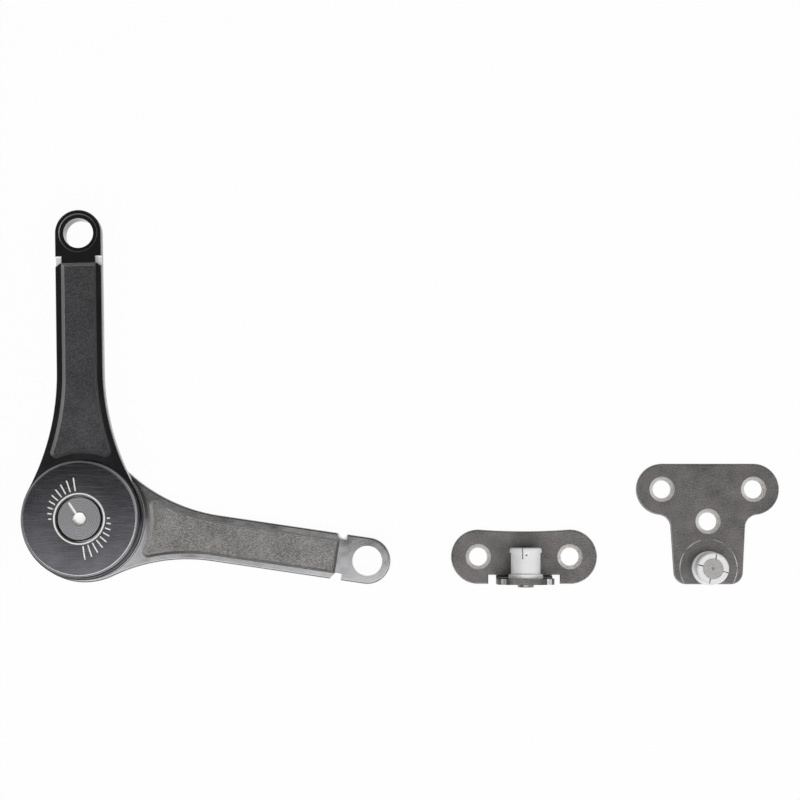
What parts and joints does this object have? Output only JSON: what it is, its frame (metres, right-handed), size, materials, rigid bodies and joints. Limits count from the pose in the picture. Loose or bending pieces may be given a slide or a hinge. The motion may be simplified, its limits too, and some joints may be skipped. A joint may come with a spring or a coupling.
{
  "type": "lid stay",
  "caption": "Adjustable friction lid stay: a jointed pair of cast arms with a friction hub, a folded lid bracket and a T-shaped cabinet bracket with snap bushes.",
  "frame": {"origin": "hub axis on the plane on which the stay and the brackets lie", "axes": "+Z out of the fronts, along the hub axis; +X from the hub towards the brackets; +Y roughly along the upper arm"},
  "size_m": [0.2639, 0.1307, 0.0198],
  "materials": {
    "arm_casting": "zinc casting with a dark nickel plating: glossy rims, finely grained panels",
    "cover": "dark nickel plating, satin face with fine brush lines, bright rounded rim",
    "dial": "turned face with fine concentric marks",
    "bracket_sheet": "stamped sheet with a grained dark nickel plating, brighter at the edges and screw seats",
    "pin_steel": "turned steel end with a centre mark",
    "nylon": "white moulded nylon",
    "inner_steel": "plain bright steel",
    "sleeve_bronze": "plain bearing bronze",
    "friction_fibre": "dark fibre lining",
    "back_cap": "plain dark cap"
  },
  "bodies": {
    "lower_arm": {"lower_arm": "arm_casting", "back_cap": "back_cap", "bearing_sleeve": "sleeve_bronze", "cabinet_bracket": "bracket_sheet", "cabinet_pin": "pin_steel", "lid_bracket": "bracket_sheet", "lid_pin": "pin_steel"},
    "upper_arm": {"upper_arm": "arm_casting", "cover_plate": "cover", "centre_bolt": "inner_steel", "back_friction_washer": "friction_fibre", "friction_lining": "friction_fibre", "pressure_washer": "inner_steel", "disc_spring_1": "inner_steel", "disc_spring_2": "inner_steel", "disc_spring_3": "inner_steel", "disc_spring_4": "inner_steel", "cover_snap_ring": "inner_steel"},
    "adjuster": {"adjuster_dial": "dial"},
    "cabinet_bush": {"cabinet_bush": "nylon"},
    "lid_bush": {"lid_bush": "nylon"}
  },
  "joints": [
    {"name": "hub_pivot", "type": "hinge", "parent": "lower_arm", "child": "upper_arm", "pos_m": [0, 0, 0.0082], "axis": [0, 0, 1], "range_deg": [-84, 71]},
    {"name": "adjuster_turn", "type": "hinge", "parent": "upper_arm", "child": "adjuster", "pos_m": [0, 0, 0.01905], "axis": [0, 0, 1], "range_deg": [-25, 57]},
    {"name": "cabinet_bush_spin", "type": "hinge", "parent": "lower_arm", "child": "cabinet_bush", "pos_m": [0.217, -0.0171, 0.0072], "axis": [0, 0, 1], "continuous": true},
    {"name": "lid_bush_spin", "type": "hinge", "parent": "lower_arm", "child": "lid_bush", "pos_m": [0.1527, -0.01535, 0.0107], "axis": [0, 1, 0], "continuous": true}
  ]
}
